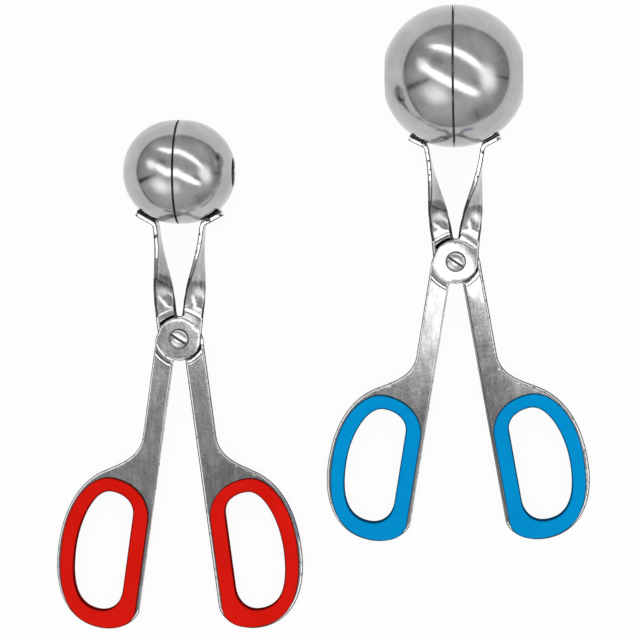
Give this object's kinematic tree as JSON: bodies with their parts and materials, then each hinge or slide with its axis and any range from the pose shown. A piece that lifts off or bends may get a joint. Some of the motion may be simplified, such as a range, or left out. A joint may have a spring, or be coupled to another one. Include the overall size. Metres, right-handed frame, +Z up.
{
  "type": "meatball tongs set",
  "caption": "Large and small scissor tongs with pierced half-ball steel cups, twisted necks, a screw pivot and plastic-rimmed finger loops, lying closed side by side.",
  "frame": {"origin": "under the middle of the whole set, on the table that it lies on", "axes": "+Z up, +Y from the finger loops towards the balls, +X from the small tongs towards the large ones"},
  "size_m": [0.1964, 0.227, 0.0506],
  "materials": {
    "arm_steel": "tumbled stainless steel with a soft mottled shine",
    "cup_steel": "mirror polished stainless steel",
    "pivot_steel": "bright turned steel",
    "blue_plastic": "satin moulded plastic, blue",
    "red_plastic": "satin moulded plastic, red"
  },
  "bodies": {
    "large_front": {"large_front_arm": "arm_steel", "large_right_cup": "cup_steel", "large_left_grip": "blue_plastic", "large_pivot_screw": "pivot_steel", "large_pivot_washer": "pivot_steel", "large_pivot_nut": "pivot_steel"},
    "large_back": {"large_back_arm": "arm_steel", "large_left_cup": "cup_steel", "large_right_grip": "blue_plastic"},
    "small_back": {"small_back_arm": "arm_steel", "small_left_cup": "cup_steel", "small_right_grip": "red_plastic", "small_pivot_screw": "pivot_steel", "small_pivot_washer": "pivot_steel", "small_pivot_nut": "pivot_steel"},
    "small_front": {"small_front_arm": "arm_steel", "small_right_cup": "cup_steel", "small_left_grip": "red_plastic"}
  },
  "joints": [
    {"name": "large_pivot", "type": "hinge", "parent": "large_front", "child": "large_back", "pos_m": [0.04982, 0.02257, 0.0164], "axis": [0.0009, -0.1343, 0.9909], "range_deg": [0, 32]},
    {"name": "small_lift", "type": "slide", "parent": "large_front", "child": "small_back", "axis": [0, 0, 1], "range_m": [0, 0.06]},
    {"name": "small_pivot", "type": "hinge", "parent": "small_back", "child": "small_front", "pos_m": [-0.05118, -0.00543, 0.01297], "axis": [0.0013, 0.0958, -0.9954], "range_deg": [0, 32]}
  ]
}
